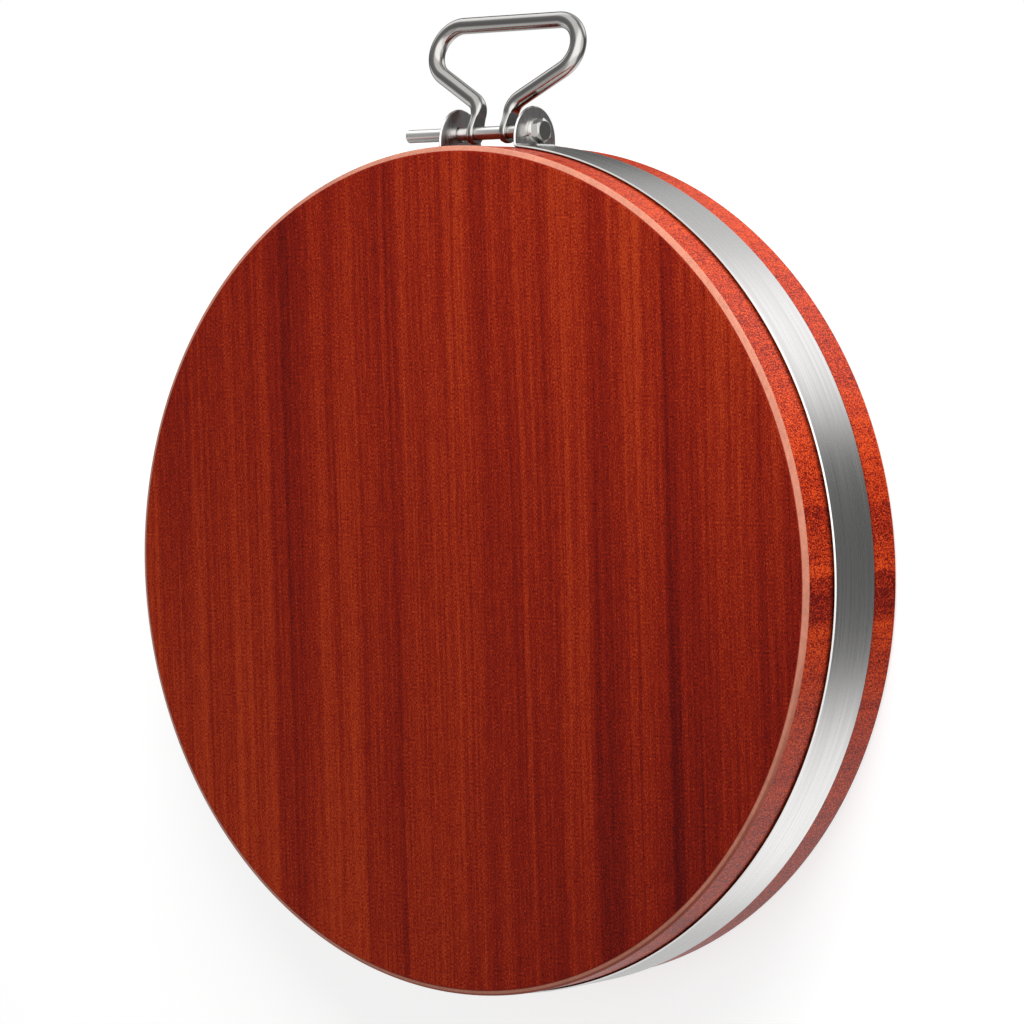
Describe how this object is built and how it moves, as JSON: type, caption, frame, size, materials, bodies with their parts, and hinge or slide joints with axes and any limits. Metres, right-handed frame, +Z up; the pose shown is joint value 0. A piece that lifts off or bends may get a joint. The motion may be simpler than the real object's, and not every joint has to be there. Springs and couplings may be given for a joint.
{
  "type": "round chopping block",
  "caption": "Round wooden chopping block in a bolted steel hoop, with a swinging wire handle for carrying it and hanging it up.",
  "frame": {"origin": "centre of the underside", "axes": "+Z up through the block to its cutting face, +Y out to the handle, +X along the bolt towards its head"},
  "size_m": [0.3826, 0.4416, 0.07],
  "materials": {
    "hardwood": "sanded, red-brown, close straight grain",
    "hoop_steel": "stainless strip, polished with a fine lengthwise brushing",
    "fastener_steel": "bright stainless steel",
    "handle_steel": "polished stainless wire"
  },
  "bodies": {
    "block": {"wood_block": "hardwood", "steel_hoop": "hoop_steel", "clamp_bolt": "fastener_steel", "clamp_nut": "fastener_steel", "head_washer": "fastener_steel", "nut_washer": "fastener_steel"},
    "handle": {"carry_handle": "handle_steel"}
  },
  "joints": [
    {"name": "handle_swing", "type": "hinge", "parent": "block", "child": "handle", "pos_m": [0, 0.19648, 0.035], "axis": [1, 0, 0], "range_deg": [-60, 96]}
  ]
}
